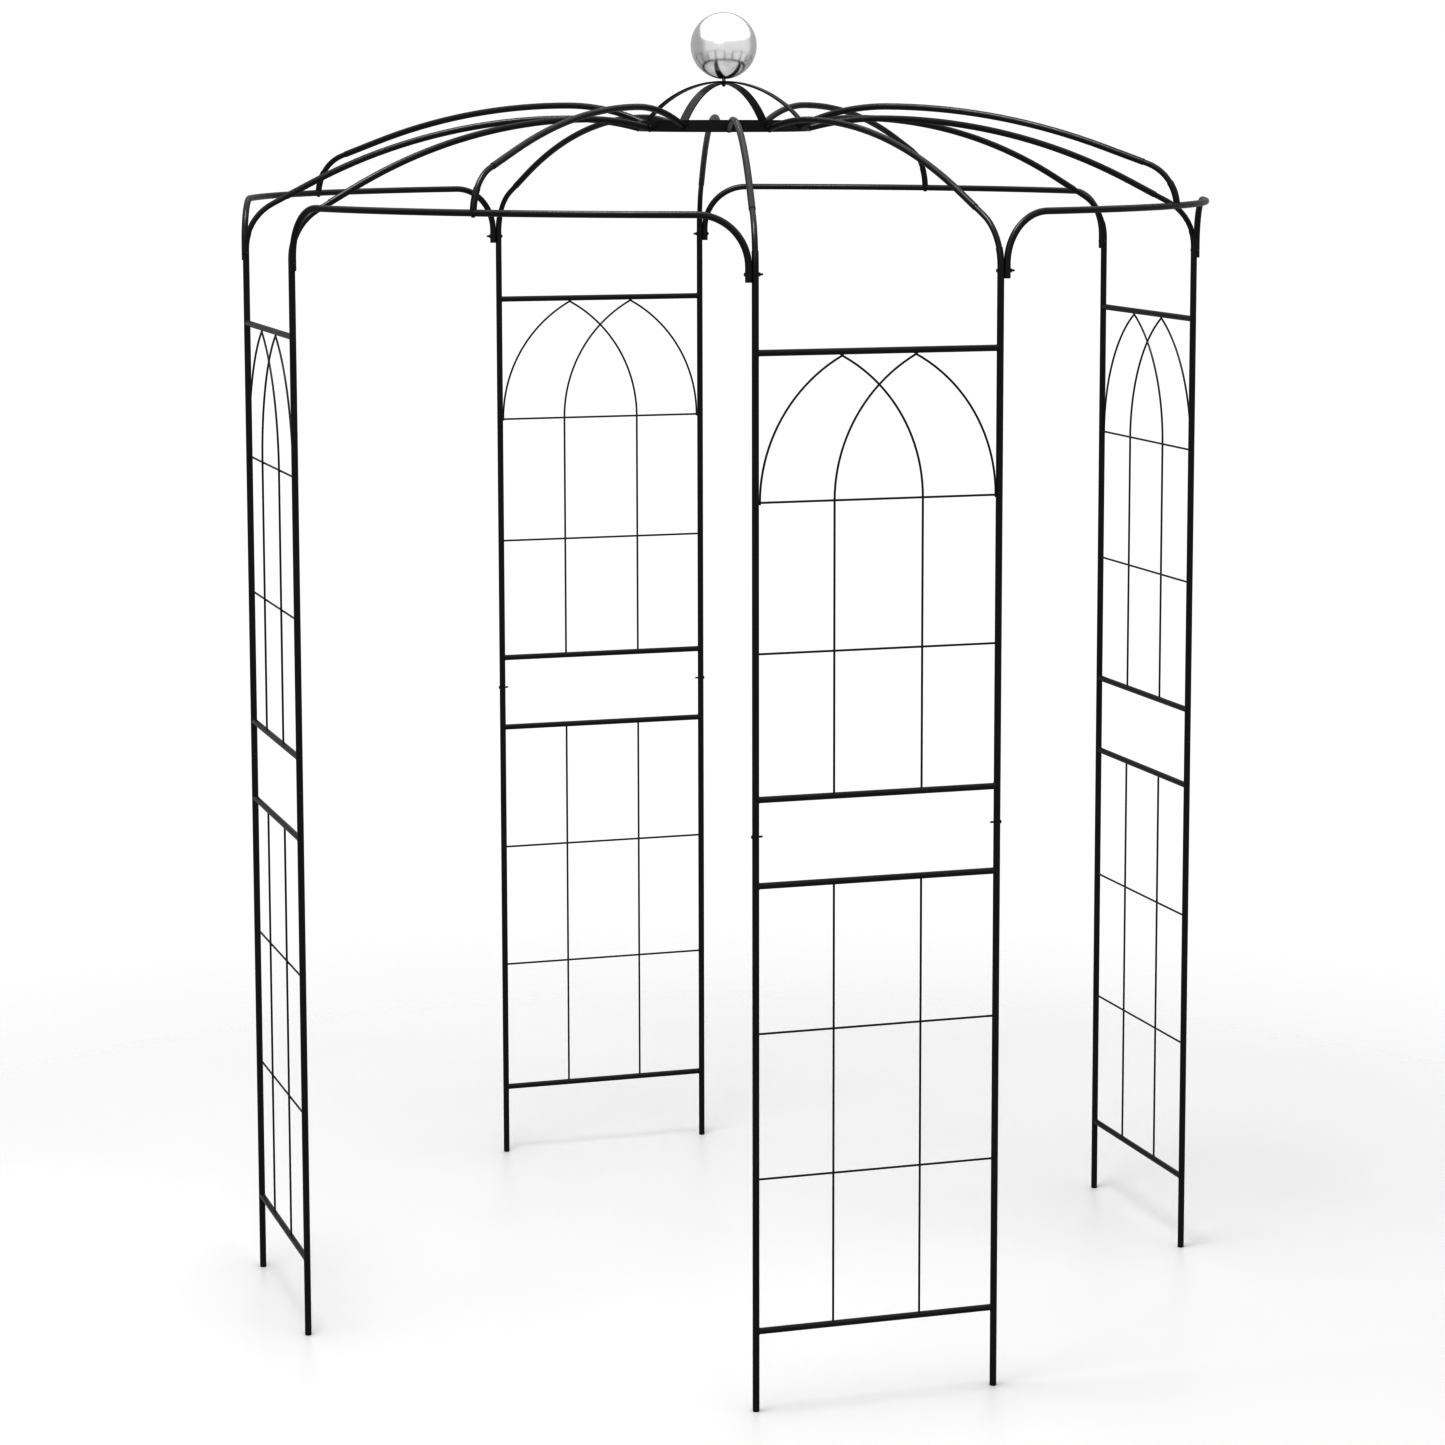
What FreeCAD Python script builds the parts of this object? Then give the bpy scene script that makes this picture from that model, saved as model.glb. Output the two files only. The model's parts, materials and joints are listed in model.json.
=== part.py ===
"""Garden trellis gazebo in black steel tube, with a hoop, a small crown and a mirror ball.

Four narrow trellis panels stand on a circle. Curved bars join them over the
four wide openings, and twelve ribs rise from the posts and the bars to a hoop.

Units are millimetres. +Z is up, the ground is Z = 0 and the origin is the
centre of the plan on the ground. The front panel faces -Y.
"""
import math
import os

import FreeCAD
import Part

V = FreeCAD.Vector

# ---------------------------------------------------------------- dimensions
# Overall
TOTAL_HEIGHT = 2900.0

# Plan: each panel is a pair of posts, set square to the plan axes
POST_SPACING = 528.0
PANEL_DISTANCE = 1049.0

# Steel tube and wire
TUBE_OD = 14.0
TUBE_WALL = 0.8
RAIL_OD = 13.0
INSERT_OD = 12.0
WIRE_OD = 4.0

# Lower half panel, heights above the ground
RAIL_BOTTOM_Z = 171.0
LOWER_WIRE_Z = (494.0, 801.0)
RAIL_MID_LOWER_Z = 1111.0

# Joint between the lower and upper half panels
SPLICE_Z = 1200.0
SPIGOT_LENGTH = 40.0
SPLICE_SCREW_Z = 1214.0

# Upper half panel
RAIL_MID_UPPER_Z = 1290.0
UPPER_WIRE_Z = 1590.0
CHORD_WIRE_Z = 1899.0
RAIL_TOP_Z = 2202.0

# Upright wires and the two interlaced pointed arches
UPRIGHT_X = 95.6
ARCH_OUTER_X = 255.2
ARCH_RISE = 294.4

# Arch bars over the wide openings
BAR_Z = 2479.5
BAR_MID_RADIUS = 1098.0
BAR_BEND = 105.0
BAR_LEG_END_Z = 2344.0
BAR_BOLT_Z = 2360.0

# Roof lines in a vertical plane through the centre line:
# start height of the bend, bend radius, bend angle, straight, roof arc, inner arc
POST_LINE = {"z0": 2368.6, "bend": 116.0, "turn": 62.1, "straight": 98.0, "roof": 1240.0, "inner": 600.0}
BAR_LINE = {"z0": 2474.0, "bend": 100.0, "turn": 71.3, "straight": 108.0, "roof": 1630.0, "inner": 528.0}
POST_TOP_TURN = 18.8
STUB_TOP_TURN = 33.4
POST_RIB_START = 34.0
BAR_RIB_START = 10.7
SLEEVE_OVERLAP = 35.0

# Hoop and crown, flat bar
HOOP_OUTER_RADIUS = 195.5
HOOP_HEIGHT = 23.0
HOOP_BOTTOM_Z = 2633.0
FLAT_THICK = 3.0
CROWN_WIDTH = 20.0
CROWN_RADIUS = 264.0
CROWN_TAB = 16.0
STRIP_GAP = 0.2

# Mirror ball
BALL_OD = 150.0
BALL_WALL = 1.0

NECK_OD = 8.0
NECK_LENGTH = 4.5

# Fasteners
BOLT_D = 4.0
BOLT_HOLE = 4.4
BOLT_HEAD_D = 7.6
BOLT_HEAD_H = 2.4
NUT_AF = 7.0
NUT_H = 3.2
BOLT_LENGTH = 37.0
SCREW_D = 3.5
SCREW_HOLE = 3.8
SCREW_HEAD_D = 7.0
SCREW_HEAD_H = 2.2
SCREW_LENGTH = 21.5
STUD_D = 5.0

# ------------------------------------------------------------------- derived
HALF = POST_SPACING / 2.0
POST_RADIUS = math.hypot(HALF, PANEL_DISTANCE)
POST_ANGLE = math.degrees(math.atan2(HALF, PANEL_DISTANCE))
BORE = TUBE_OD - 2.0 * TUBE_WALL
LEG_X = HALF + TUBE_OD
SIDES = ("front", "right", "back", "left")
CORNERS = ("front_right", "back_right", "back_left", "front_left")
ZAXIS = V(0, 0, 1)
ORIGIN = V(0, 0, 0)

NODES = {}


def add(name, shape):
    NODES[name] = shape


def turned(shape, degrees):
    copy = shape.copy()
    copy.rotate(ORIGIN, ZAXIS, degrees)
    return copy


def rod(start, end, diameter):
    run = end.sub(start)
    return Part.makeCylinder(diameter / 2.0, run.Length, start, run)


def line_tube(start, end, outer, wall):
    return rod(start, end, outer).cut(rod(start, end, outer - 2.0 * wall))


def sweep(edges, diameter):
    """Round solid bar of one diameter along a smooth path."""
    path = Part.Wire(edges)
    first = edges[0]
    start = first.valueAt(first.FirstParameter)
    along = first.tangentAt(first.FirstParameter)
    ring = Part.Wire(Part.makeCircle(diameter / 2.0, start, along))
    return path.makePipeShell([ring], True, True)


def sweep_tube(edges, outer, wall):
    """Round tube along a smooth path, open at both ends."""
    return sweep(edges, outer).cut(sweep(edges, outer - 2.0 * wall))


def arc(a, b, c):
    return Part.Arc(a, b, c).toShape()


def straight(a, b):
    return Part.LineSegment(a, b).toShape()


# ----------------------------------------------- roof line, in the XZ half plane
class RoofLine:
    """Bend, straight, roof arc and inner arc of one rib, seen from the side.

    Radius runs along +X. The line rises at `radius`, turns inwards by `turn`
    degrees, climbs straight, then curves over its highest point to the hoop.
    """

    def __init__(self, radius, data):
        self.radius = radius
        self.z0 = data["z0"]
        self.bend = data["bend"]
        self.turn = data["turn"]
        self.length = data["straight"]
        self.roof = data["roof"]
        self.inner = data["inner"]

    def on_bend(self, degrees):
        t = math.radians(degrees)
        return V(self.radius - self.bend * (1.0 - math.cos(t)), 0, self.z0 + self.bend * math.sin(t))

    def on_straight(self, distance):
        t = math.radians(self.turn)
        end = self.on_bend(self.turn)
        return V(end.x - distance * math.sin(t), 0, end.z + distance * math.cos(t))

    def roof_centre(self):
        t = math.radians(self.turn)
        end = self.on_straight(self.length)
        return V(end.x - self.roof * math.cos(t), 0, end.z - self.roof * math.sin(t))

    def on_roof(self, degrees):
        t = math.radians(degrees)
        mid = self.roof_centre()
        return V(mid.x + self.roof * math.cos(t), 0, mid.z + self.roof * math.sin(t))

    def on_inner(self, degrees):
        t = math.radians(degrees)
        peak = self.on_roof(90.0)
        return V(peak.x + self.inner * math.cos(t), 0, peak.z - self.inner + self.inner * math.sin(t))

    def inner_end(self, radius):
        """Angle on the inner arc where the line reaches a given radius."""
        peak = self.on_roof(90.0)
        return 90.0 + math.degrees(math.asin((peak.x - radius) / self.inner))

    def bend_edge(self, start, end):
        return arc(self.on_bend(start), self.on_bend((start + end) / 2.0), self.on_bend(end))

    def rib_edges(self, start, radius):
        last = self.inner_end(radius)
        middle = (self.turn + 90.0) / 2.0
        edges = [straight(self.on_straight(start), self.on_straight(self.length))]
        edges.append(arc(self.on_roof(self.turn), self.on_roof(middle), self.on_roof(90.0)))
        edges.append(arc(self.on_inner(90.0), self.on_inner((90.0 + last) / 2.0), self.on_inner(last)))
        return edges


post_line = RoofLine(POST_RADIUS, POST_LINE)
bar_line = RoofLine(BAR_MID_RADIUS, BAR_LINE)


# --------------------------------------------------------------------- posts
def lower_post():
    """Lower post tube with a closed foot and a swaged spigot at its top."""
    tube = rod(V(POST_RADIUS, 0, 0), V(POST_RADIUS, 0, SPLICE_Z), TUBE_OD)
    edge = [e for e in tube.Edges if abs(e.CenterOfMass.z) < 0.1 and e.Length > TUBE_OD]
    tube = tube.makeFillet(1.2, edge)
    tube = tube.cut(rod(V(POST_RADIUS, 0, 2.0), V(POST_RADIUS, 0, SPLICE_Z - 6.0), BORE))
    spigot = rod(V(POST_RADIUS, 0, SPLICE_Z - 6.0), V(POST_RADIUS, 0, SPLICE_Z + SPIGOT_LENGTH), INSERT_OD)
    bore = INSERT_OD - 2.0 * TUBE_WALL
    hollow = rod(V(POST_RADIUS, 0, SPLICE_Z - 8.0), V(POST_RADIUS, 0, SPLICE_Z + SPIGOT_LENGTH), bore)
    return tube.fuse(spigot).cut(hollow).removeSplitter()


def upper_post():
    """Upper post tube, its top end bent inwards to meet the roof line."""
    edges = [straight(V(POST_RADIUS, 0, SPLICE_Z), V(POST_RADIUS, 0, POST_LINE["z0"]))]
    edges.append(post_line.bend_edge(0.0, POST_TOP_TURN))
    return sweep_tube(edges, TUBE_OD, TUBE_WALL)


def cross_hole(side_x, z, diameter, length=60.0):
    """Drill running along a panel, centred on a post or a leg of the front panel."""
    return rod(V(side_x - length / 2.0, -PANEL_DISTANCE, z), V(side_x + length / 2.0, -PANEL_DISTANCE, z), diameter)


def post_turn(sign):
    """Rotation that brings the post from the +X line to the front panel."""
    return -90.0 + sign * POST_ANGLE


for index, side in enumerate(SIDES):
    for sign, hand in ((-1, "left"), (1, "right")):
        splice = cross_hole(sign * HALF, SPLICE_SCREW_Z, SCREW_HOLE)
        bolt = cross_hole(sign * HALF, BAR_BOLT_Z, BOLT_HOLE)
        low = turned(lower_post(), post_turn(sign)).cut(splice)
        high = turned(upper_post(), post_turn(sign)).cut(splice).cut(bolt)
        add(side + "_lower_post_" + hand, turned(low, 90.0 * index))
        add(side + "_upper_post_" + hand, turned(high, 90.0 * index))


# ------------------------------------------------------------ rails and wires
def largest(shape):
    return max(shape.Solids, key=lambda s: s.Volume)


def fitted_to_posts(bar, z):
    """Shape both ends of a level bar of the front panel to sit against the posts."""
    for x in (-HALF, HALF):
        bar = bar.cut(rod(V(x, -PANEL_DISTANCE, z - 20.0), V(x, -PANEL_DISTANCE, z + 20.0), TUBE_OD))
    return largest(bar)


def fitted_to_rails(wire, heights):
    """Shape the ends of an upright wire of the front panel to sit against its rails."""
    for z in heights:
        wire = wire.cut(rod(V(-HALF, -PANEL_DISTANCE, z), V(HALF, -PANEL_DISTANCE, z), RAIL_OD))
    return largest(wire)


def rail(z):
    """Level tube between the posts, its ends shaped to fit round them."""
    y = -PANEL_DISTANCE
    return fitted_to_posts(line_tube(V(-HALF, y, z), V(HALF, y, z), RAIL_OD, TUBE_WALL), z)


WIRE_OUT = -PANEL_DISTANCE - WIRE_OD / 2.0
WIRE_IN = -PANEL_DISTANCE + WIRE_OD / 2.0


def level_wire(z):
    return fitted_to_posts(rod(V(-HALF, WIRE_IN, z), V(HALF, WIRE_IN, z), WIRE_OD), z)


def lower_grid():
    rails = (RAIL_BOTTOM_Z, RAIL_MID_LOWER_Z)
    wires = [level_wire(z) for z in LOWER_WIRE_Z]
    for x in (-UPRIGHT_X, UPRIGHT_X):
        wire = rod(V(x, WIRE_OUT, rails[0]), V(x, WIRE_OUT, rails[1]), WIRE_OD)
        wires.append(fitted_to_rails(wire, rails))
    return Part.makeCompound(wires)


def pointed_arch(outer_x, inner_x):
    """One pointed arch: outer arc, inner arc and the inner leg down to the rail."""
    y = WIRE_OUT
    middle = (outer_x + inner_x) / 2.0
    half_span = abs(inner_x - outer_x) / 2.0
    radius = (half_span ** 2 + ARCH_RISE ** 2) / (2.0 * half_span)
    sweep_angle = math.asin(ARCH_RISE / radius)
    apex = V(middle, y, CHORD_WIRE_Z + ARCH_RISE)
    pieces = []
    for foot_x in (outer_x, inner_x):
        inward = 1.0 if foot_x < middle else -1.0
        half = sweep_angle / 2.0
        via_x = foot_x + inward * radius * (1.0 - math.cos(half))
        via = V(via_x, y, CHORD_WIRE_Z + radius * math.sin(half))
        bottom = CHORD_WIRE_Z - WIRE_OD
        if foot_x == inner_x:
            bottom = RAIL_MID_UPPER_Z
        foot = V(foot_x, y, CHORD_WIRE_Z)
        pieces.append(sweep([straight(V(foot_x, y, bottom), foot), arc(foot, via, apex)], WIRE_OD))
    ball = Part.makeSphere(WIRE_OD / 2.0, apex)
    return fitted_to_rails(pieces[0].fuse([pieces[1], ball]), (RAIL_MID_UPPER_Z,))


def upper_tracery():
    left = pointed_arch(-ARCH_OUTER_X, UPRIGHT_X)
    right = pointed_arch(ARCH_OUTER_X, -UPRIGHT_X)
    wires = left.fuse(right).Solids
    wires.append(level_wire(UPPER_WIRE_Z))
    wires.append(level_wire(CHORD_WIRE_Z))
    return Part.makeCompound(wires)


lower_rails = Part.makeCompound([rail(RAIL_BOTTOM_Z), rail(RAIL_MID_LOWER_Z)])
upper_rails = Part.makeCompound([rail(RAIL_MID_UPPER_Z), rail(RAIL_TOP_Z)])
lower_wires = lower_grid()
upper_wires = upper_tracery()
for index, side in enumerate(SIDES):
    add(side + "_lower_rails", turned(lower_rails, 90.0 * index))
    add(side + "_lower_grid", turned(lower_wires, 90.0 * index))
    add(side + "_upper_rails", turned(upper_rails, 90.0 * index))
    add(side + "_upper_tracery", turned(upper_wires, 90.0 * index))


# ------------------------------------------------------------------ arch bars
def bar_plan():
    """Plan arc of the bar: centre distance from the middle, and arc radius."""
    along = (LEG_X + PANEL_DISTANCE) / math.sqrt(2.0)
    across = (PANEL_DISTANCE - LEG_X) / math.sqrt(2.0)
    top = along ** 2 + across ** 2 - BAR_MID_RADIUS ** 2 - BAR_BEND ** 2
    offset = top / (2.0 * (along - BAR_MID_RADIUS))
    return offset, BAR_MID_RADIUS - offset, along, across


def bar_edges():
    """Path of the bar with its middle on the +X line."""
    offset, radius, along, across = bar_plan()
    lead = math.atan2(across, along - offset) - math.atan2(BAR_BEND, radius)

    def plan(angle):
        return V(offset + radius * math.cos(angle), radius * math.sin(angle), BAR_Z)

    def end(sign):
        join = plan(sign * lead)
        out = V(-math.sin(lead), sign * math.cos(lead), 0)
        leg_top = V(join.x + out.x * BAR_BEND, join.y + out.y * BAR_BEND, BAR_Z - BAR_BEND)
        c45 = math.cos(math.radians(45.0))
        lift = BAR_Z - BAR_BEND + BAR_BEND * c45
        via = V(join.x + out.x * BAR_BEND * c45, join.y + out.y * BAR_BEND * c45, lift)
        leg_end = V(leg_top.x, leg_top.y, BAR_LEG_END_Z)
        return leg_end, leg_top, via, join

    a_end, a_top, a_via, a_join = end(-1.0)
    b_end, b_top, b_via, b_join = end(1.0)
    edges = [straight(a_end, a_top), arc(a_top, a_via, a_join)]
    edges.append(arc(a_join, plan(0.0), b_join))
    edges.append(arc(b_join, b_via, b_top))
    edges.append(straight(b_top, b_end))
    return edges


bar_outside = sweep(bar_edges(), TUBE_OD)
bar_tube = sweep_tube(bar_edges(), TUBE_OD, TUBE_WALL)
stub_drill = rod(V(BAR_MID_RADIUS, 0, BAR_Z - 20.0), V(BAR_MID_RADIUS, 0, BAR_Z + 20.0), BOLT_HOLE)
front_leg_drill = turned(cross_hole(LEG_X, BAR_BOLT_Z, BOLT_HOLE), 45.0)
right_leg_drill = turned(turned(cross_hole(-LEG_X, BAR_BOLT_Z, BOLT_HOLE), 90.0), 45.0)
arch_bar = bar_tube.cut(stub_drill).cut(front_leg_drill).cut(right_leg_drill)
for index, corner in enumerate(CORNERS):
    add("arch_bar_" + corner, turned(arch_bar, -45.0 + 90.0 * index))


# -------------------------------------------------------- stubs, elbows, ribs
def bar_stub():
    """Short curved socket standing on the bar, its foot closed and tapped."""
    foot_turn = math.degrees(math.asin((BAR_Z + 3.0 - BAR_LINE["z0"]) / BAR_LINE["bend"]))
    edge = bar_line.bend_edge(foot_turn, STUB_TOP_TURN)
    plug_turn = math.degrees(math.asin((BAR_Z + TUBE_OD / 2.0 + 9.0 - BAR_LINE["z0"]) / BAR_LINE["bend"]))
    outside = sweep([edge], TUBE_OD)
    inside = sweep([bar_line.bend_edge(plug_turn, STUB_TOP_TURN)], BORE)
    drill = rod(V(BAR_MID_RADIUS, 0, BAR_Z), V(BAR_MID_RADIUS, 0, BAR_Z + 40.0), BOLT_D)
    stub = outside.cut(inside).cut(bar_outside).cut(drill)
    return largest(stub)


def elbow(line, start_turn, rib_start):
    edges = [line.bend_edge(start_turn, line.turn)]
    edges.append(straight(line.on_bend(line.turn), line.on_straight(rib_start + SLEEVE_OVERLAP)))
    return sweep_tube(edges, INSERT_OD, TUBE_WALL)


def rib(line, start):
    tube = sweep_tube(line.rib_edges(start, HOOP_OUTER_RADIUS - 6.0), TUBE_OD, TUBE_WALL)
    core = Part.makeCylinder(HOOP_OUTER_RADIUS, 200.0, V(0, 0, HOOP_BOTTOM_Z - 80.0))
    return largest(tube.cut(core))


stub = bar_stub()
bar_elbow = elbow(bar_line, 16.0, BAR_RIB_START)
bar_rib = rib(bar_line, BAR_RIB_START)
post_elbow = elbow(post_line, 3.0, POST_RIB_START)
post_rib = rib(post_line, POST_RIB_START)

add("bar_stubs", Part.makeCompound([turned(stub, -45.0 + 90.0 * i) for i in range(4)]))
add("bar_elbows", Part.makeCompound([turned(bar_elbow, -45.0 + 90.0 * i) for i in range(4)]))
post_turns = [post_turn(sign) + 90.0 * i for i in range(4) for sign in (-1, 1)]
add("post_elbows", Part.makeCompound([turned(post_elbow, t) for t in post_turns]))
for index, side in enumerate(SIDES):
    add("post_rib_" + side + "_left", turned(post_rib, post_turn(-1) + 90.0 * index))
    add("post_rib_" + side + "_right", turned(post_rib, post_turn(1) + 90.0 * index))
for index, corner in enumerate(CORNERS):
    add("bar_rib_" + corner, turned(bar_rib, -45.0 + 90.0 * index))


# -------------------------------------------------------------- hoop and crown
hoop = Part.makeCylinder(HOOP_OUTER_RADIUS, HOOP_HEIGHT, V(0, 0, HOOP_BOTTOM_Z))
hoop = hoop.cut(Part.makeCylinder(HOOP_OUTER_RADIUS - FLAT_THICK, HOOP_HEIGHT, V(0, 0, HOOP_BOTTOM_Z)))
add("roof_hoop", hoop)

BALL_Z = TOTAL_HEIGHT - BALL_OD / 2.0
CROWN_TOP_Z = BALL_Z - BALL_OD / 2.0 - NECK_LENGTH


def crown_strip(top_z):
    """Flat bar arched over the hoop, both ends turned down inside it."""
    reach = math.sqrt((HOOP_OUTER_RADIUS - FLAT_THICK) ** 2 - (CROWN_WIDTH / 2.0) ** 2)
    mid_z = top_z - CROWN_RADIUS
    inner = CROWN_RADIUS - FLAT_THICK
    outer_z = mid_z + math.sqrt(CROWN_RADIUS ** 2 - reach ** 2)
    inner_x = reach - FLAT_THICK
    inner_z = mid_z + math.sqrt(inner ** 2 - inner_x ** 2)
    low = HOOP_BOTTOM_Z + HOOP_HEIGHT - CROWN_TAB
    y = -CROWN_WIDTH / 2.0
    edges = [straight(V(-reach, y, low), V(-reach, y, outer_z))]
    edges.append(arc(V(-reach, y, outer_z), V(0, y, top_z), V(reach, y, outer_z)))
    edges.append(straight(V(reach, y, outer_z), V(reach, y, low)))
    edges.append(straight(V(reach, y, low), V(inner_x, y, low)))
    edges.append(straight(V(inner_x, y, low), V(inner_x, y, inner_z)))
    edges.append(arc(V(inner_x, y, inner_z), V(0, y, mid_z + inner), V(-inner_x, y, inner_z)))
    edges.append(straight(V(-inner_x, y, inner_z), V(-inner_x, y, low)))
    edges.append(straight(V(-inner_x, y, low), V(-reach, y, low)))
    strip = Part.Face(Part.Wire(edges)).extrude(V(0, CROWN_WIDTH, 0))
    return strip.cut(rod(V(0, 0, top_z - 30.0), V(0, 0, top_z + 30.0), STUD_D + 0.4))


add("crown_strip_lower", turned(crown_strip(CROWN_TOP_Z - FLAT_THICK - STRIP_GAP), 45.0))
add("crown_strip_upper", turned(crown_strip(CROWN_TOP_Z), -45.0))


# ------------------------------------------------------------------ fasteners
def hexagon(across_flats, height, base):
    corner = across_flats / math.sqrt(3.0)
    points = [V(corner * math.cos(math.radians(60.0 * i)), corner * math.sin(math.radians(60.0 * i)), 0)
              for i in range(7)]
    prism = Part.Face(Part.makePolygon(points)).extrude(V(0, 0, height))
    prism.translate(base)
    return prism


def round_head(diameter, height):
    """Low domed head standing on Z = 0, dome downwards."""
    head = Part.makeCylinder(diameter / 2.0, height, V(0, 0, -height))
    edge = [e for e in head.Edges if abs(e.CenterOfMass.z + height) < 0.01 and e.Length > diameter]
    return head.makeFillet(height * 0.45, edge)


def bolt_shape(diameter, head_d, head_h, length):
    """Bolt pointing along +Z, the underside of its head at Z = 0."""
    shank = Part.makeCylinder(diameter / 2.0, length, ORIGIN)
    tip = [e for e in shank.Edges if abs(e.CenterOfMass.z - length) < 0.01 and e.Length > diameter]
    shank = shank.makeChamfer(0.5, tip)
    return shank.fuse(round_head(head_d, head_h)).removeSplitter()


def laid(shape, start, axis):
    """Turn a +Z part onto an axis and move it to its place."""
    placed = shape.copy()
    turn = FreeCAD.Rotation(ZAXIS, axis)
    placed.Placement = FreeCAD.Placement(start, turn).multiply(placed.Placement)
    return placed


bolt_part = bolt_shape(BOLT_D, BOLT_HEAD_D, BOLT_HEAD_H, BOLT_LENGTH)
screw_part = bolt_shape(SCREW_D, SCREW_HEAD_D, SCREW_HEAD_H, SCREW_LENGTH)
nut_part = hexagon(NUT_AF, NUT_H, ORIGIN).cut(Part.makeCylinder(BOLT_D / 2.0, NUT_H))
bolts = []
nuts = []
screws = []
for index in range(4):
    for sign in (-1, 1):
        y = -PANEL_DISTANCE
        low_x = HALF - TUBE_OD / 2.0
        if sign < 0:
            low_x = -LEG_X - TUBE_OD / 2.0
        head_at = V(low_x, y, BAR_BOLT_Z)
        nut_at = V(low_x + 2.0 * TUBE_OD, y, BAR_BOLT_Z)
        bolts.append(turned(laid(bolt_part, head_at, V(1, 0, 0)), 90.0 * index))
        nuts.append(turned(laid(nut_part, nut_at, V(1, 0, 0)), 90.0 * index))
        screw_at = V(sign * (HALF + TUBE_OD / 2.0), y, SPLICE_SCREW_Z)
        screws.append(turned(laid(screw_part, screw_at, V(-sign, 0, 0)), 90.0 * index))
add("arch_bolts", Part.makeCompound(bolts))
add("arch_nuts", Part.makeCompound(nuts))
add("splice_screws", Part.makeCompound(screws))

stub_bolt = bolt_shape(BOLT_D, BOLT_HEAD_D, BOLT_HEAD_H, TUBE_OD + 8.0)
stub_bolt_at = V(BAR_MID_RADIUS, 0, BAR_Z - TUBE_OD / 2.0)
stub_bolt = laid(stub_bolt, stub_bolt_at, ZAXIS)
add("stub_bolts", Part.makeCompound([turned(stub_bolt, -45.0 + 90.0 * i) for i in range(4)]))


# ----------------------------------------------------------------- mirror ball
under_z = CROWN_TOP_Z - 2.0 * FLAT_THICK - 2.0 * STRIP_GAP
stud = Part.makeCylinder(STUD_D / 2.0, 24.0, V(0, 0, under_z - 6.0))
nut = hexagon(NUT_AF + 1.0, NUT_H + 0.8, V(0, 0, under_z - NUT_H - 0.8))
nut = nut.cut(Part.makeCylinder(STUD_D / 2.0, 8.0, V(0, 0, under_z - 7.0)))
add("finial_stud", Part.makeCompound([stud, nut]))

shell = Part.makeSphere(BALL_OD / 2.0, V(0, 0, BALL_Z))
neck = Part.makeCylinder(NECK_OD / 2.0, NECK_LENGTH + 6.0, V(0, 0, CROWN_TOP_Z))
shell = shell.cut(Part.makeSphere(BALL_OD / 2.0 - BALL_WALL, V(0, 0, BALL_Z)))
shell = shell.fuse(neck)
shell = shell.cut(Part.makeCylinder(STUD_D / 2.0, 30.0, V(0, 0, CROWN_TOP_Z - 1.0)))
add("finial_ball", largest(shell))


# ---------------------------------------------------------------------- export
os.makedirs("parts", exist_ok=True)
for name, shape in NODES.items():
    shape.exportStep(os.path.join("parts", name + ".step"))
    box = shape.BoundBox
    print(name, len(shape.Solids), shape.isValid(), round(shape.Volume / 1000.0, 2), "cm3",
          [round(v, 1) for v in (box.XMin, box.YMin, box.ZMin, box.XMax, box.YMax, box.ZMax)])
print(len(NODES), "nodes")
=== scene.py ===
"""Looks for the black steel trellis gazebo: coats, weld beads, threads, floor, light and camera."""

import json
import math
import random

import bmesh
import bpy
from mathutils import Matrix, Vector


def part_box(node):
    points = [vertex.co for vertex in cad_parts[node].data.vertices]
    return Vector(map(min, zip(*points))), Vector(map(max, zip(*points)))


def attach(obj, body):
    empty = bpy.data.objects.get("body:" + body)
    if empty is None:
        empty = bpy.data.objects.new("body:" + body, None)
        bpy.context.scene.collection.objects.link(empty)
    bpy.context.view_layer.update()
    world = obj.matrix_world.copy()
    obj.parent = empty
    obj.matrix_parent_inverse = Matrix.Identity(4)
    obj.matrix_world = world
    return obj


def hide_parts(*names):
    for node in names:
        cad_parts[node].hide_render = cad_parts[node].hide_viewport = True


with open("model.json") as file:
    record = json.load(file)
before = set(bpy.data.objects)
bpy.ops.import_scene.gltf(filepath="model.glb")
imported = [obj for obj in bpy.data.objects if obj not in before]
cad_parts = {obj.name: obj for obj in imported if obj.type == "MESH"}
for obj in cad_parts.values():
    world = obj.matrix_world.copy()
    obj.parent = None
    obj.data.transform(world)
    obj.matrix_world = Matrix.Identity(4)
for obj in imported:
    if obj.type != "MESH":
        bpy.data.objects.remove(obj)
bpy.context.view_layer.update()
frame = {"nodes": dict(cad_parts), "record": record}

# ------------------------------------------------------------ sizes, in metres
HALF = 0.264                            # middle of a panel to the axis of its post
PANEL = 1.049                           # middle of the object to the plane of a panel
TUBE_R = 0.0070
RAIL_R = 0.0065
WIRE_R = 0.002
RAIL_Z = (0.171, 1.111, 1.290, 2.202)
LEVEL_Z = (0.494, 0.801, 1.590, 1.899)  # level wires
UPRIGHT_X = 0.0956                      # upright wires
ARCH_OUTER_X = 0.2552                   # outer feet of the pointed arches
ARCH_APEX_X = 0.0798
ARCH_APEX_Z = 2.1934
HOOP_R = 0.1955
HOOP_WALL = 0.003
HOOP_TOP = 2.656
STRIP_HALF = 0.010                      # half the width of a crown strip
STRIP_TAB_Z = 2.640                     # lower end of a crown strip, inside the hoop
LEG_X = HALF + 2 * TUBE_R               # leg of an arch bar, beside its post

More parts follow.
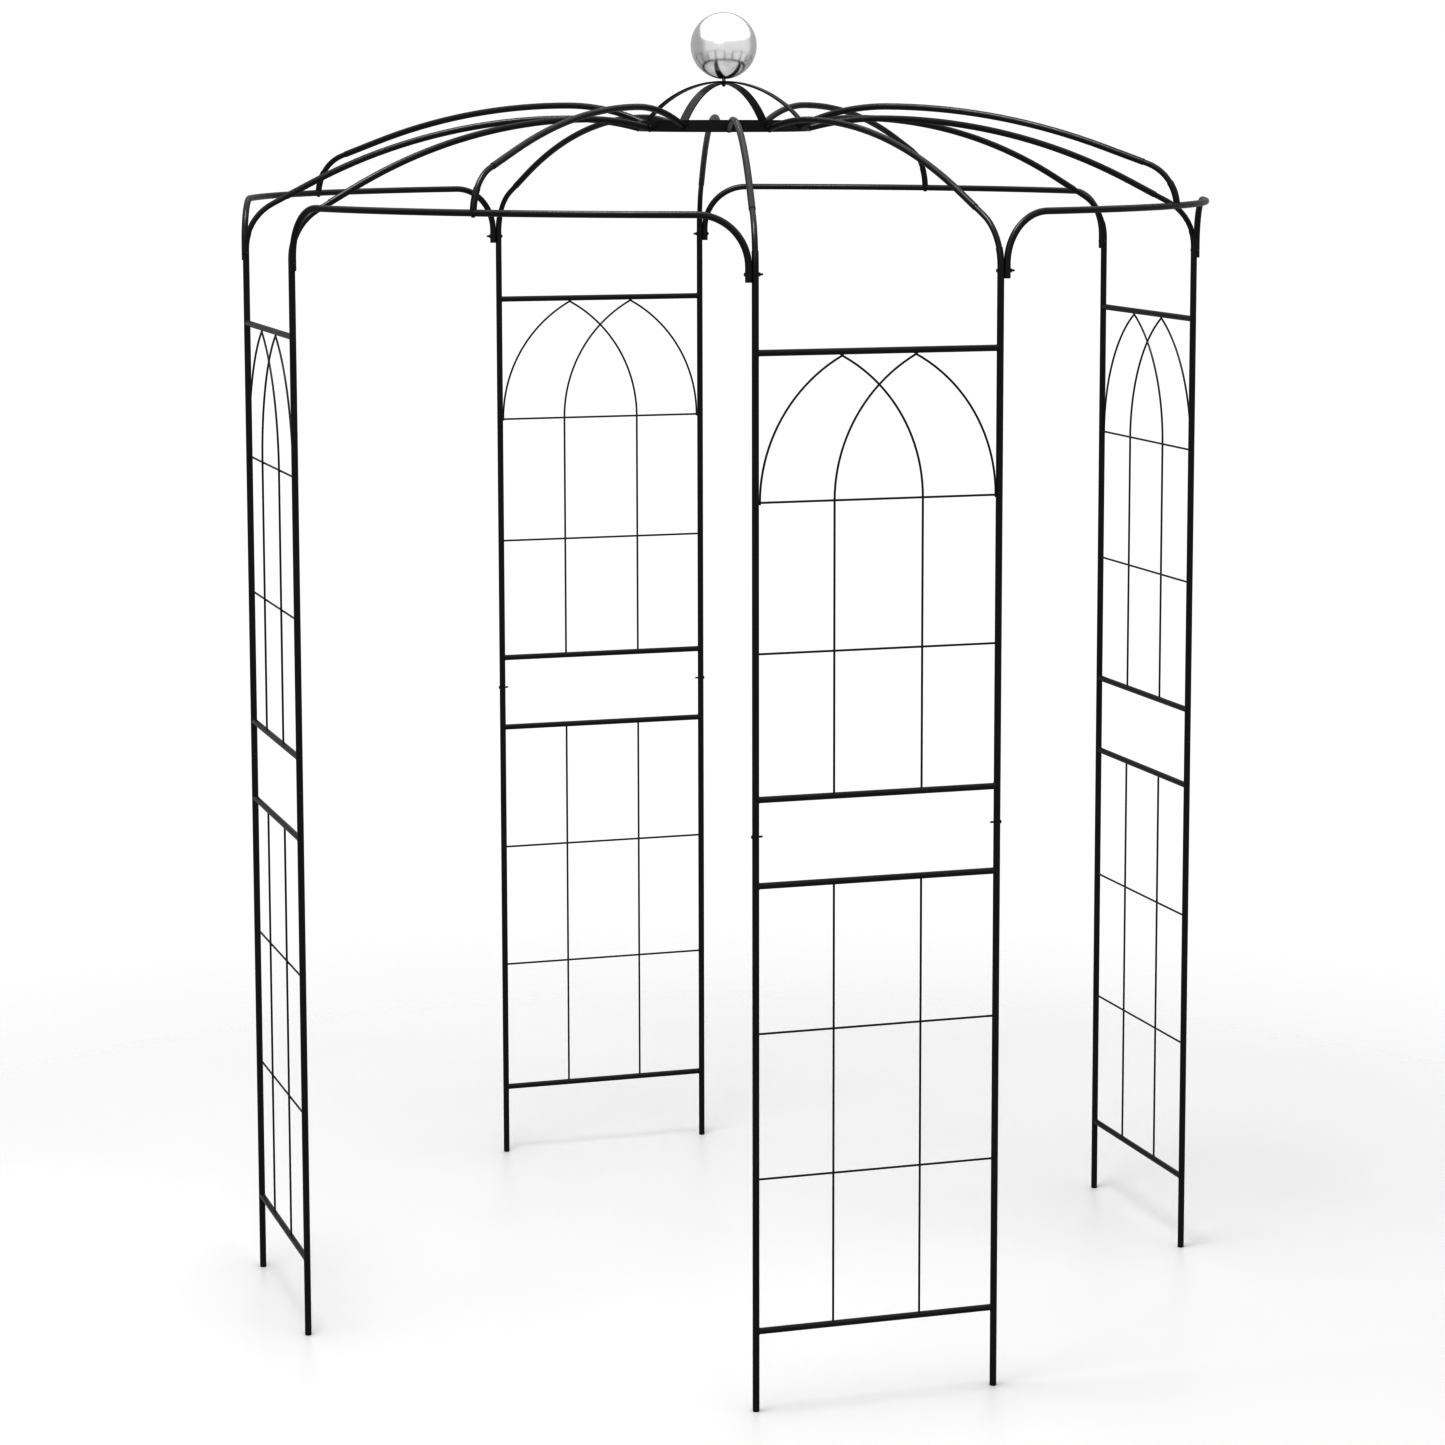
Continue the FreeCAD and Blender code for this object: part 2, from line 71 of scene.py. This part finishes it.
# weld beads: radius of the bead, and steps along it
RAIL_BEAD, RAIL_STEPS = 0.0011, 24
WIRE_BEAD, WIRE_STEPS = 0.0006, 14
RIB_BEAD = 0.0012
STRIP_BEAD, STRIP_STEPS = 0.0010, 10
STRIP_BEAD_GAP = 0.0005                 # from the bead's end to the edge of the hoop or tab
RIB_LINE_GAP = 0.0008                   # least distance between two points of a rib's bead
RIPPLE, RIPPLE_RATE, UNEVEN = 0.10, 2.1, 0.05
CROSSING_DROP = (0.0023, 0.0013, 0.0023)
APEX_DROP = (0.0042, 0.0022, 0.0016)
APEX_DROP_OUT, APEX_DROP_UP = 0.0012, 0.0020

# threads
BOLT_Z, BOLT_R = 2.360, 0.002
BOLT_PITCH, BOLT_THREAD, BOLT_CREST = 0.0007, 0.0046, 0.00018
NUT_HEIGHT = 0.0032
NUT_GAP = 0.0003
SCREW_Z, SCREW_R = 1.214, 0.00175
SCREW_PITCH, SCREW_THREAD, SCREW_CREST = 0.0012, 0.0060, 0.00030
SCREW_GAP = 0.0006
THREAD_STEPS = 20                       # steps in one turn
RUN_OUT_STEPS = 8.0                     # steps in which the ridge rises and dies out
RIDGE_WIDTH = 0.36                      # half width of the ridge, as a share of the pitch
RIDGE_ROOT = 0.00003                    # depth of the ridge's foot under the bolt's skin

# mirror ball
BALL_STEPS = 96
NECK_R, NECK_END_R, NECK_EDGE = 0.004, 0.0025, 0.0003

SIDES = ("front", "right", "back", "left")
Z = Vector((0, 0, 1))

# ------------------------------------------------------ floor, light and camera
FLOOR_REACH = 7.0
FLOOR_FADE = (FLOOR_REACH * 0.18, FLOOR_REACH * 0.55)

# name, place, target, width, height and power
SOFTBOXES = (
    ("top_box", (-1.5, -1.0, 7.0), (0.0, 0.0, 0.0), 2.2, 2.2, 420.0),
    ("front_box", (-6.0, -9.0, 7.0), (0.0, 0.0, 1.6), 5.0, 3.0, 160.0),
)

# brightness of the surroundings, by the direction in which they are seen
SKY_LOW = 1.13                          # low down, in front of the object
SKY_BACK = 0.76                         # low down, behind it
SKY_HIGH = 2.3                          # overhead
SKY_BACK_TO_FRONT = (0.20, -0.25)
SKY_LOW_TO_HIGH = (0.29, 0.38)
SKY_LIFT = 0.20                         # how much higher the low part reaches behind the object
SKY_LIFT_RANGE = (0.15, 0.60)
VIEW_GAMMA = 0.6

CAMERA_PLACE = (-2.6689, -8.4972, 2.7371)
CAMERA_YAW = -0.31821
CAMERA_PITCH = -0.12587
CAMERA_SHIFT = (-0.0386, -0.10)
CAMERA_CLIP = (0.1, 300.0)
SENSOR = 36.0
LENS = 97.11

# ------------------------------------------------------------------- materials
# the middle part of a noise texture's values, where nearly all of them lie
NOISE_LOW, NOISE_HIGH = 0.3, 0.7
WHITE = (1.0, 1.0, 1.0, 1.0)


def new_material(name):
    mat = bpy.data.materials.new(name)
    mat.use_nodes = True
    nodes = mat.node_tree.nodes
    links = mat.node_tree.links
    shader = next(n for n in nodes if n.type == "BSDF_PRINCIPLED")
    coords = nodes.new("ShaderNodeTexCoord")
    return mat, nodes, links, shader, coords


def noise(nodes, links, coords, scale, detail):
    node = nodes.new("ShaderNodeTexNoise")
    node.inputs["Scale"].default_value = scale
    node.inputs["Detail"].default_value = detail
    node.inputs["Roughness"].default_value = 0.55
    links.new(coords.outputs["Object"], node.inputs["Vector"])
    return node


def wandering_tone(nodes, links, shader, source, dark, light):
    """Base colour that wanders between two tones with a noise."""
    node = nodes.new("ShaderNodeValToRGB")
    stops = ((NOISE_LOW, dark), (NOISE_HIGH, light))
    for element, (place, colour) in zip(node.color_ramp.elements, stops):
        element.position = place
        element.color = (*colour, 1.0)
    links.new(source.outputs["Fac"], node.inputs["Fac"])
    links.new(node.outputs["Color"], shader.inputs["Base Color"])


def wandering_gloss(nodes, links, shader, source, low, high):
    """Roughness that wanders between two values with a noise."""
    node = nodes.new("ShaderNodeMapRange")
    node.inputs["From Min"].default_value = NOISE_LOW
    node.inputs["From Max"].default_value = NOISE_HIGH
    node.inputs["To Min"].default_value = low
    node.inputs["To Max"].default_value = high
    links.new(source.outputs["Fac"], node.inputs["Value"])
    links.new(node.outputs["Result"], shader.inputs["Roughness"])


def smooth_range(nodes, span, low=0.0, high=1.0):
    """Smooth change from low to high while a value crosses a span."""
    node = nodes.new("ShaderNodeMapRange")
    node.interpolation_type = "SMOOTHSTEP"
    node.inputs["From Min"].default_value = span[0]
    node.inputs["From Max"].default_value = span[1]
    node.inputs["To Min"].default_value = low
    node.inputs["To Max"].default_value = high
    return node


def coated_steel(name, dark, light, gloss, grain, height, specular):
    """Satin powder coat: a fine orange-peel skin with a slight drift in tone and gloss."""
    mat, nodes, links, shader, coords = new_material(name)
    wandering_tone(nodes, links, shader, noise(nodes, links, coords, 9.0, 4.0), dark, light)
    wandering_gloss(nodes, links, shader, noise(nodes, links, coords, 60.0, 4.0), *gloss)
    skin = noise(nodes, links, coords, grain, 2.0)
    bump = nodes.new("ShaderNodeBump")
    bump.inputs["Strength"].default_value = height
    bump.inputs["Distance"].default_value = 0.0002
    links.new(skin.outputs["Fac"], bump.inputs["Height"])
    links.new(bump.outputs["Normal"], shader.inputs["Normal"])
    shader.inputs["Specular IOR Level"].default_value = specular
    return mat


def mirror_steel(name):
    """Polished stainless steel with faint haze and drift in its polish."""
    mat, nodes, links, shader, coords = new_material(name)
    haze = noise(nodes, links, coords, 14.0, 5.0)
    wandering_tone(nodes, links, shader, haze, (0.67, 0.67, 0.675), (0.73, 0.73, 0.735))
    wandering_gloss(nodes, links, shader, haze, 0.18, 0.22)
    shader.inputs["Metallic"].default_value = 1.0
    return mat


def bright_zinc(name):
    """Dull bright plating, with a soft drift in tone."""
    mat, nodes, links, shader, coords = new_material(name)
    drift = noise(nodes, links, coords, 150.0, 3.0)
    wandering_tone(nodes, links, shader, drift, (0.74, 0.74, 0.75), (0.84, 0.84, 0.85))
    shader.inputs["Roughness"].default_value = 0.45
    shader.inputs["Metallic"].default_value = 0.15
    return mat


def pale_floor(name):
    """Pale matt floor that fades out into the white backdrop away from the object."""
    mat, nodes, links, shader, coords = new_material(name)
    drift = noise(nodes, links, coords, 0.7, 2.0)
    wandering_tone(nodes, links, shader, drift, (0.35, 0.35, 0.35), (0.365, 0.365, 0.365))
    shader.inputs["Roughness"].default_value = 0.40
    shader.inputs["Specular IOR Level"].default_value = 0.25
    length = nodes.new("ShaderNodeVectorMath")
    length.operation = "LENGTH"
    links.new(coords.outputs["Object"], length.inputs[0])
    fade = smooth_range(nodes, FLOOR_FADE, 1.0, 0.0)
    links.new(length.outputs["Value"], fade.inputs["Value"])
    links.new(fade.outputs["Result"], shader.inputs["Alpha"])
    return mat


COAT = coated_steel(
    "black_coat", dark=(0.006, 0.006, 0.0062), light=(0.011, 0.011, 0.0113),
    gloss=(0.28, 0.38), grain=700.0, height=0.07, specular=0.30)
WELD = coated_steel(
    "coated_weld", dark=(0.006, 0.006, 0.0062), light=(0.012, 0.012, 0.0123),
    gloss=(0.30, 0.42), grain=500.0, height=0.5, specular=0.30)
FAST = coated_steel(
    "black_fastener", dark=(0.008, 0.008, 0.0083), light=(0.015, 0.015, 0.0154),
    gloss=(0.24, 0.36), grain=1200.0, height=0.15, specular=0.40)
BALL = mirror_steel("mirror_ball")
ZINC = bright_zinc("plated_neck")
BY_SLOT = {"black_coat": COAT, "fastener": FAST, "mirror_ball": BALL}

for part in frame["record"]["subparts"]:
    node = frame["nodes"][part["node"]]
    for place in node.material_slots:
        place.material = BY_SLOT[part["material_slot"]]


# ---------------------------------------------------------------- piece makers
def finish_piece(bm, name, material):
    bmesh.ops.recalc_face_normals(bm, faces=bm.faces)
    mesh = bpy.data.meshes.new(name)
    bm.to_mesh(mesh)
    bm.free()
    for face in mesh.polygons:
        face.use_smooth = True
    mesh.materials.append(material)
    piece = bpy.data.objects.new(name, mesh)
    bpy.context.collection.objects.link(piece)
    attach(piece, "root")
    return piece


def quarter_turns(index):
    """Turn that takes the front panel to the panel with this index."""
    return Matrix.Rotation(math.pi / 2 * index, 3, "Z")


def ring_at(bm, centre, out, up, radius, sides=7):
    ring = []
    for k in range(sides):
        a = 2.0 * math.pi * k / sides
        ring.append(bm.verts.new(centre + out * (radius * math.cos(a)) + up * (radius * math.sin(a))))
    return ring


def bridge(bm, first, second):
    count = len(first)
    for k in range(count):
        bm.faces.new((first[k], first[(k + 1) % count], second[(k + 1) % count], second[k]))


def bead(bm, points, radius, rng, closed=True):
    """Rippled weld bead along a line of points."""
    count = len(points)
    rings = []
    ripple = rng.uniform(0.0, 6.0)
    for i, point in enumerate(points):
        ahead = points[(i + 1) % count] if closed else points[min(i + 1, count - 1)]
        behind = points[i - 1] if closed else points[max(i - 1, 0)]
        along = (ahead - behind).normalized()
        side = along.orthogonal().normalized()
        if i:
            side = (last - along * last.dot(along)).normalized()
        last = side
        wave = RIPPLE * math.sin(RIPPLE_RATE * i + ripple)
        size = radius * (1.0 + wave + rng.uniform(-UNEVEN, UNEVEN))
        rings.append(ring_at(bm, point, side, along.cross(side), size))
    for first, second in zip(rings, rings[1:]):
        bridge(bm, first, second)
    if closed:
        # the last ring joins the first at whichever turn of the ring lies closest
        start = rings[0]
        end = rings[-1]
        shift = min(range(len(start)), key=lambda s: (start[s].co - end[0].co).length)
        bridge(bm, end, start[shift:] + start[:shift])
    else:
        bm.faces.new(rings[0])
        bm.faces.new(rings[-1])


def saddle(centre, along, up, small, big, offset=0.0, steps=RAIL_STEPS):
    """Line where a small tube, running along `along`, meets a bigger tube running along `up`."""
    across = up.cross(along)
    points = []
    for i in range(steps):
        a = 2.0 * math.pi * i / steps
        side = offset + small * math.sin(a)
        out = math.sqrt(max(big * big - side * side, 0.0))
        points.append(centre + up * (small * math.cos(a)) + across * side + along * out)
    return points


def drop(bm, centre, size, rng):
    """Small flattened drop of weld at a crossing of wires."""
    turn = Matrix.Rotation(rng.uniform(0.0, 3.0), 4, "Y")
    shape = Matrix.Diagonal((*[s * rng.uniform(0.93, 1.07) for s in size], 1.0))
    bmesh.ops.create_icosphere(
        bm, subdivisions=2, radius=1.0, matrix=Matrix.Translation(centre) @ shape @ turn)


# ------------------------------------------------------------------ weld beads
def panel_welds(index, side):
    """All weld beads of one trellis panel, worked out for the front panel, then turned."""
    rng = random.Random(100 + index)
    bm = bmesh.new()
    for x, inward in ((-HALF, 1.0), (HALF, -1.0)):
        run = Vector((inward, 0, 0))
        for z in RAIL_Z:
            bead(bm, saddle(Vector((x, -PANEL, z)), run, Z, RAIL_R, TUBE_R), RAIL_BEAD, rng)
        for z in LEVEL_Z:
            line = saddle(Vector((x, -PANEL, z)), run, Z, WIRE_R, TUBE_R, WIRE_R * inward, WIRE_STEPS)
            bead(bm, line, WIRE_BEAD, rng)
    across = Vector((1, 0, 0))
    for x in (-UPRIGHT_X, UPRIGHT_X):
        for z, way in ((RAIL_Z[0], 1.0), (RAIL_Z[1], -1.0), (RAIL_Z[2], 1.0)):
            run = Vector((0, 0, way))
            line = saddle(Vector((x, -PANEL, z)), run, across, WIRE_R, RAIL_R, WIRE_R * way, WIRE_STEPS)
            bead(bm, line, WIRE_BEAD, rng)
        for z in LEVEL_Z:
            drop(bm, Vector((x, -PANEL, z)), CROSSING_DROP, rng)
    for x in (-ARCH_OUTER_X, ARCH_OUTER_X):
        drop(bm, Vector((x, -PANEL, LEVEL_Z[3])), CROSSING_DROP, rng)
    for x in (-ARCH_APEX_X, ARCH_APEX_X):
        apex = Vector((x, -PANEL - APEX_DROP_OUT, ARCH_APEX_Z + APEX_DROP_UP))
        drop(bm, apex, APEX_DROP, rng)
    # no bead stands proud of the outer face of the posts
    for vert in bm.verts:
        vert.co.y = max(vert.co.y, -PANEL - TUBE_R)
    bmesh.ops.rotate(bm, cent=(0, 0, 0), matrix=quarter_turns(index), verts=bm.verts)
    finish_piece(bm, "welds_" + side, WELD)


def rib_end_line(node):
    """Outer edge of a rib where its end meets the hoop, in order round the tube."""
    loop = [v.co.copy() for v in node.data.vertices if abs(math.hypot(v.co.x, v.co.y) - HOOP_R) < 2e-5]
    middle = sum(loop, Vector()) / len(loop)
    # the bore's edge lies a tube wall further in
    outer = [p for p in loop if (p - middle).length > TUBE_R - 0.0003]
    out = Vector((middle.x, middle.y, 0)).normalized()
    right = Z.cross(out)
    outer.sort(key=lambda p: math.atan2((p - middle).z, (p - middle).dot(right)))
    tidy = [outer[0]]
    for p in outer[1:]:
        if (p - tidy[-1]).length > RIB_LINE_GAP:
            tidy.append(p)
    return tidy


def roof_welds():
    """Beads round the rib ends on the hoop, and beside the tabs of the crown strips inside it."""
    rng = random.Random(200)
    bm = bmesh.new()
    for name, node in frame["nodes"].items():
        if "_rib_" in name:
            bead(bm, rib_end_line(node), RIB_BEAD, rng)
    wall = HOOP_R - HOOP_WALL
    rise = HOOP_TOP - STRIP_TAB_Z - 2 * STRIP_BEAD_GAP
    heights = [STRIP_TAB_Z + STRIP_BEAD_GAP + rise * i / (STRIP_STEPS - 1) for i in range(STRIP_STEPS)]
    for k in range(4):
        turn = Matrix.Rotation(math.radians(45.0 + 90.0 * k), 3, "Z")
        for y in (-STRIP_HALF, STRIP_HALF):
            x = math.sqrt(wall * wall - STRIP_HALF * STRIP_HALF)
            bead(bm, [turn @ Vector((x, y, z)) for z in heights], STRIP_BEAD, rng, closed=False)
    finish_piece(bm, "welds_roof", WELD)


# --------------------------------------------------------------------- threads
def thread(bm, start, along, radius, pitch, length, crest):
    """Helical ridge on a bolt, ending in a run-out at both ends."""
    side = along.orthogonal().normalized()
    other = along.cross(side)
    steps = int(THREAD_STEPS * length / pitch)
    width = pitch * RIDGE_WIDTH
    low = radius - RIDGE_ROOT
    rows = []
    for i in range(steps + 1):
        a = 2.0 * math.pi * i / THREAD_STEPS
        out = side * math.cos(a) + other * math.sin(a)
        spot = start + along * (length * i / steps)
        fade = min(1.0, i / RUN_OUT_STEPS, (steps - i) / RUN_OUT_STEPS)
        rows.append([
            bm.verts.new(spot - along * width + out * low),
            bm.verts.new(spot + out * (low + RIDGE_ROOT + crest * fade)),
            bm.verts.new(spot + along * width + out * low),
        ])
    for first, second in zip(rows, rows[1:]):
        bridge(bm, first, second)
    bm.faces.new(rows[0])
    bm.faces.new(rows[-1])


def fastener_threads():
    """Threads on the bolt ends past their nuts, and on the screw ends inside the panels."""
    bm = bmesh.new()
    for index in range(4):
        turn = quarter_turns(index)
        for sign in (-1.0, 1.0):
            low_x = HALF - TUBE_R if sign > 0 else -LEG_X - TUBE_R
            nut_face = low_x + 4 * TUBE_R + NUT_HEIGHT
            thread(bm, turn @ Vector((nut_face + NUT_GAP, -PANEL, BOLT_Z)), turn @ Vector((1, 0, 0)),
                   BOLT_R, BOLT_PITCH, BOLT_THREAD, BOLT_CREST)
            skin = sign * (HALF - TUBE_R) - sign * SCREW_GAP
            thread(bm, turn @ Vector((skin, -PANEL, SCREW_Z)), turn @ Vector((-sign, 0, 0)),
                   SCREW_R, SCREW_PITCH, SCREW_THREAD, SCREW_CREST)
    finish_piece(bm, "fastener_threads", FAST)


# ----------------------------------------------------------------- mirror ball
def mirror_ball():
    """Finely turned copy of the ball and its neck, so that reflections run smooth."""
    low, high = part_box("finial_ball")
    radius = (high[0] - low[0]) / 2.0
    centre = high[2] - radius
    bm = bmesh.new()
    dip = math.asin(NECK_R / radius)
    profile = [(NECK_END_R, low[2]), (NECK_R - NECK_EDGE, low[2]), (NECK_R, low[2] + NECK_EDGE)]
    for i in range(BALL_STEPS + 1):
        a = dip + (math.pi - dip) * i / BALL_STEPS
        profile.append((radius * math.sin(a), centre - radius * math.cos(a)))
    angles = [2 * math.pi * k / BALL_STEPS for k in range(BALL_STEPS)]
    rings = [[bm.verts.new((r * math.cos(a), r * math.sin(a), z)) for a in angles] for r, z in profile[:-1]]
    for first, second in zip(rings, rings[1:]):
        bridge(bm, first, second)
    bm.faces.new(rings[0])
    top = bm.verts.new((0, 0, profile[-1][1]))
    for k in range(BALL_STEPS):
        bm.faces.new((rings[-1][k], rings[-1][(k + 1) % BALL_STEPS], top))
    ball = finish_piece(bm, "mirror_ball", BALL)
    ball.data.materials.append(ZINC)
    for face in ball.data.polygons:
        if face.center.z < high[2] - 2.0 * radius:
            face.material_index = 1
    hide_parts("finial_ball")


for index, side in enumerate(SIDES):
    panel_welds(index, side)
roof_welds()
fastener_threads()
mirror_ball()


# ------------------------------------------------------- floor, light, camera
def build_floor():
    mesh = bpy.data.meshes.new("floor")
    bm = bmesh.new()
    bmesh.ops.create_circle(bm, cap_ends=True, segments=96, radius=FLOOR_REACH)
    bm.to_mesh(mesh)
    bm.free()
    mesh.materials.append(pale_floor("pale_floor"))
    floor = bpy.data.objects.new("floor", mesh)
    bpy.context.collection.objects.link(floor)


def softbox(name, place, target, width, height, power):
    light = bpy.data.lights.new(name, "AREA")
    light.shape = "RECTANGLE"
    light.size = width
    light.size_y = height
    light.energy = power
    lamp = bpy.data.objects.new(name, light)
    lamp.location = place
    lamp.rotation_euler = (Vector(target) - Vector(place)).to_track_quat("-Z", "Y").to_euler()
    bpy.context.collection.objects.link(lamp)


def studio_world():
    """White to look at; for light it is bright overhead and dimmer low down and behind."""
    world = bpy.data.worlds.new("studio")
    world.use_nodes = True
    nodes = world.node_tree.nodes
    links = world.node_tree.links
    output = next(n for n in nodes if n.type == "OUTPUT_WORLD")
    lit = next(n for n in nodes if n.type == "BACKGROUND")
    seen = nodes.new("ShaderNodeBackground")
    seen.inputs["Color"].default_value = WHITE
    coords = nodes.new("ShaderNodeTexCoord")
    split = nodes.new("ShaderNodeSeparateXYZ")
    links.new(coords.outputs["Generated"], split.inputs["Vector"])
    around = smooth_range(nodes, SKY_BACK_TO_FRONT, SKY_BACK, SKY_LOW)
    links.new(split.outputs["Y"], around.inputs["Value"])
    height = smooth_range(nodes, SKY_LOW_TO_HIGH, high=SKY_HIGH)
    links.new(around.outputs["Result"], height.inputs["To Min"])
    lift = smooth_range(nodes, SKY_LIFT_RANGE, high=SKY_LIFT)
    links.new(split.outputs["Y"], lift.inputs["Value"])
    above = nodes.new("ShaderNodeMath")
    above.operation = "SUBTRACT"
    links.new(split.outputs["Z"], above.inputs[0])
    links.new(lift.outputs["Result"], above.inputs[1])
    links.new(above.outputs["Value"], height.inputs["Value"])
    links.new(height.outputs["Result"], lit.inputs["Strength"])
    lit.inputs["Color"].default_value = WHITE
    path = nodes.new("ShaderNodeLightPath")
    mix = nodes.new("ShaderNodeMixShader")
    links.new(path.outputs["Is Camera Ray"], mix.inputs["Fac"])
    links.new(lit.outputs["Background"], mix.inputs[1])
    links.new(seen.outputs["Background"], mix.inputs[2])
    links.new(mix.outputs["Shader"], output.inputs["Surface"])
    bpy.context.scene.world = world


def place_camera():
    eye = bpy.data.cameras.new("camera")
    eye.sensor_width = SENSOR
    eye.lens = LENS
    eye.shift_x, eye.shift_y = CAMERA_SHIFT
    eye.clip_start, eye.clip_end = CAMERA_CLIP
    camera = bpy.data.objects.new("camera", eye)
    camera.location = CAMERA_PLACE
    camera.rotation_euler = (math.pi / 2 + CAMERA_PITCH, 0.0, CAMERA_YAW)
    bpy.context.collection.objects.link(camera)
    bpy.context.scene.camera = camera


build_floor()
for box in SOFTBOXES:
    softbox(*box)
studio_world()
bpy.context.scene.view_settings.view_transform = "Standard"
bpy.context.scene.view_settings.gamma = VIEW_GAMMA
place_camera()
